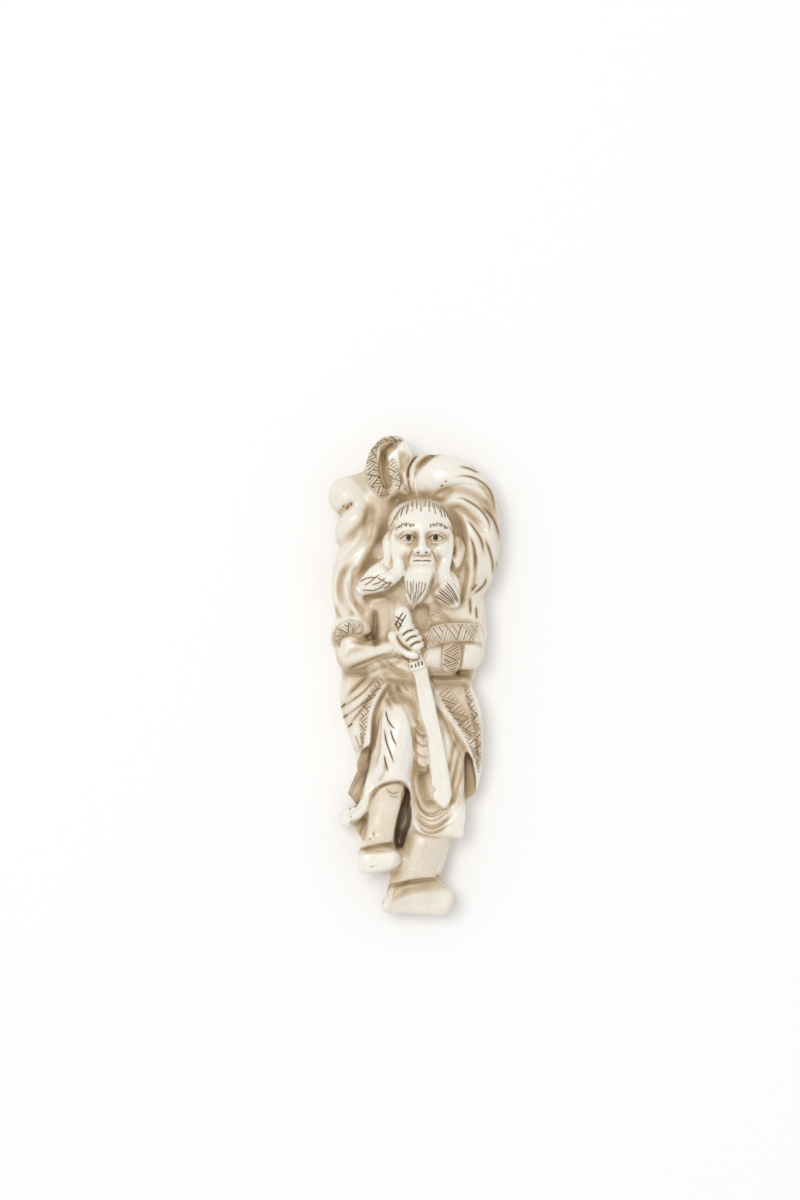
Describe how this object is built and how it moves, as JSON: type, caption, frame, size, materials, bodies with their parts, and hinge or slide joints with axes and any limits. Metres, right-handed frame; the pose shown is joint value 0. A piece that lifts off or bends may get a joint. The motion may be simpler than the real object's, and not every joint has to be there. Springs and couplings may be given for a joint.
{
  "type": "netsuke",
  "caption": "Tall flat-backed netsuke of a bearded swordsman carved in ivory, with inlaid horn pupils and a cord channel through the back.",
  "frame": {"origin": "on the flat back that the carving rests on, in the middle of its width and between the two cord holes", "axes": "+X to the viewer's right, +Y from the shoes to the head, +Z out of the front of the figure"},
  "size_m": [0.0361, 0.1003, 0.0208],
  "materials": {
    "ivory": "polished ivory, cream with brown stain in the hollows",
    "horn": "polished dark horn"
  },
  "bodies": {
    "root": {"carved_figure": "ivory", "right_pupil": "horn", "left_pupil": "horn"}
  },
  "joints": []
}
